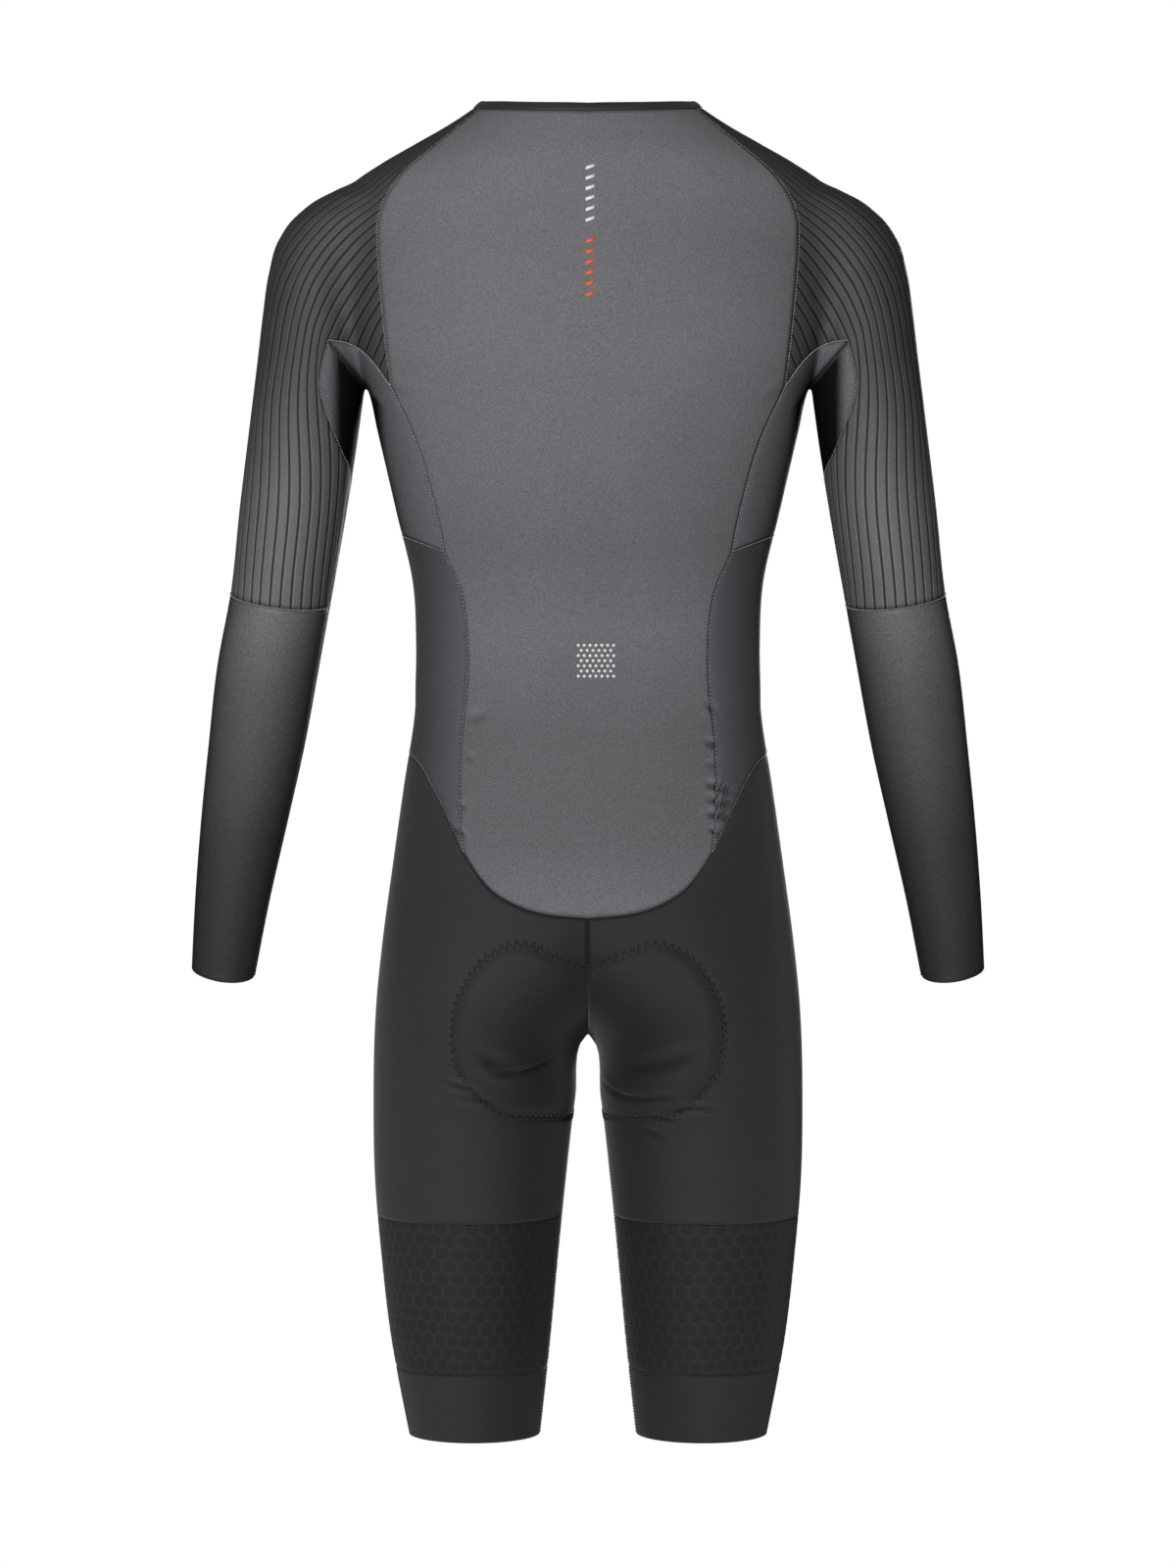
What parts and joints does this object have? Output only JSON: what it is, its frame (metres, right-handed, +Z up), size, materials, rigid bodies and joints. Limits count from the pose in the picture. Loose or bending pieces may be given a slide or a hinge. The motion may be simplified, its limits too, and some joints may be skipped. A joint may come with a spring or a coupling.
{
  "type": "time trial skinsuit",
  "caption": "Long-sleeved one-piece cycling time trial suit, filled out as if worn: ribbed raglan sleeves, shaped back, underarm panels, padded shorts with leg bands and a front zip.",
  "frame": {"origin": "middle of the neck opening, level with the highest place of the neckline's seam at the shoulders", "axes": "+Z up along the standing wearer's spine, +Y out of the wearer's back, +X to the wearer's left"},
  "size_m": [0.6248, 0.2299, 1.0187],
  "materials": {
    "back_grey": "matte knit",
    "side_grey": "matte knit",
    "lower_side_grey": "matte knit",
    "ribbed_grey": "ribbed knit with a slight sheen",
    "forearm_black": "smooth coated knit",
    "shorts_black": "matte knit",
    "band_black": "textured knit",
    "hem_black": "woven twill",
    "collar_black": "matte binding",
    "pad_grey": "foam under knit",
    "zip_black": "matte",
    "zip_metal": "satin black"
  },
  "bodies": {
    "suit": {"back_panel": "back_grey", "chamois": "pad_grey", "collar": "collar_black", "front_left": "side_grey", "front_right": "side_grey", "grip_band_left": "band_black", "grip_band_right": "band_black", "hem_band_left": "hem_black", "hem_band_right": "hem_black", "short_left": "shorts_black", "short_right": "shorts_black", "side_lower_left": "lower_side_grey", "side_lower_right": "lower_side_grey", "sleeve_lower_left": "forearm_black", "sleeve_lower_right": "forearm_black", "sleeve_upper_left": "ribbed_grey", "sleeve_upper_right": "ribbed_grey", "underarm_left": "side_grey", "underarm_right": "side_grey", "zip": "zip_black", "zip_slider": "zip_metal"},
    "pull": {"zip_pull": "zip_metal"}
  },
  "joints": [
    {"name": "pull_swing", "type": "hinge", "parent": "suit", "child": "pull", "pos_m": [0, -0.08662, -0.08668], "axis": [-1, 0, 0], "range_deg": [0, 150]}
  ]
}
